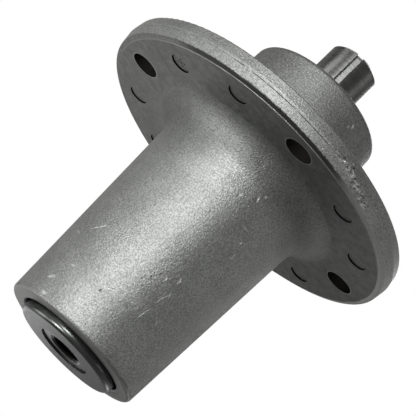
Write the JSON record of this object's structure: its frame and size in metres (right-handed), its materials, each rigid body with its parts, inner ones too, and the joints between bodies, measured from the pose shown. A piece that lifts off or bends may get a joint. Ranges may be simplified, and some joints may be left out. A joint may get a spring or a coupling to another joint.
{
  "type": "mower deck spindle",
  "caption": "Cast spindle housing with a round bolt flange and a tapered tube, carrying a steel shaft on sealed ball bearings; tapped at the blade end, slotted at the pulley end.",
  "frame": {"origin": "centre of the flange's mounting face, on the shaft's axis", "axes": "+Z along the shaft towards the pulley end; +X towards one bolt hole"},
  "size_m": [0.1564, 0.1564, 0.1843],
  "materials": {
    "cast_aluminium": "matt",
    "ground_steel": "ground",
    "collar_steel": "satin",
    "bearing_steel": "polished",
    "cage_steel": "pressed",
    "seal_rubber": "matt",
    "spring_steel": "phosphated"
  },
  "bodies": {
    "housing": {"spindle_housing": "cast_aluminium", "lower_retaining_ring": "spring_steel", "upper_retaining_ring": "spring_steel", "lower_outer_ring": "bearing_steel", "upper_outer_ring": "bearing_steel", "lower_seal_bottom": "seal_rubber", "lower_seal_top": "seal_rubber", "upper_seal_bottom": "seal_rubber", "upper_seal_top": "seal_rubber"},
    "shaft": {"spindle_shaft": "ground_steel", "bearing_spacer": "ground_steel", "blade_collar": "collar_steel", "pulley_collar": "collar_steel", "shaft_retaining_ring": "spring_steel", "lower_inner_ring": "bearing_steel", "upper_inner_ring": "bearing_steel"},
    "lower_ball_set": {"lower_balls": "bearing_steel", "lower_cage_bottom": "cage_steel", "lower_cage_top": "cage_steel", "lower_cage_rivets": "cage_steel"},
    "upper_ball_set": {"upper_balls": "bearing_steel", "upper_cage_bottom": "cage_steel", "upper_cage_top": "cage_steel", "upper_cage_rivets": "cage_steel"}
  },
  "joints": [
    {"name": "shaft_spin", "type": "hinge", "parent": "housing", "child": "shaft", "pos_m": [0, 0, 0], "axis": [0, 0, 1], "continuous": true},
    {"name": "lower_ball_set_spin", "type": "hinge", "parent": "housing", "child": "lower_ball_set", "pos_m": [0, 0, -0.1037], "axis": [0, 0, 1], "continuous": true},
    {"name": "upper_ball_set_spin", "type": "hinge", "parent": "housing", "child": "upper_ball_set", "pos_m": [0, 0, 0.0235], "axis": [0, 0, 1], "continuous": true}
  ],
  "couplings": [
    {"joint": "lower_ball_set_spin", "follows": "shaft_spin", "ratio": 0.3974},
    {"joint": "upper_ball_set_spin", "follows": "shaft_spin", "ratio": 0.3974}
  ]
}
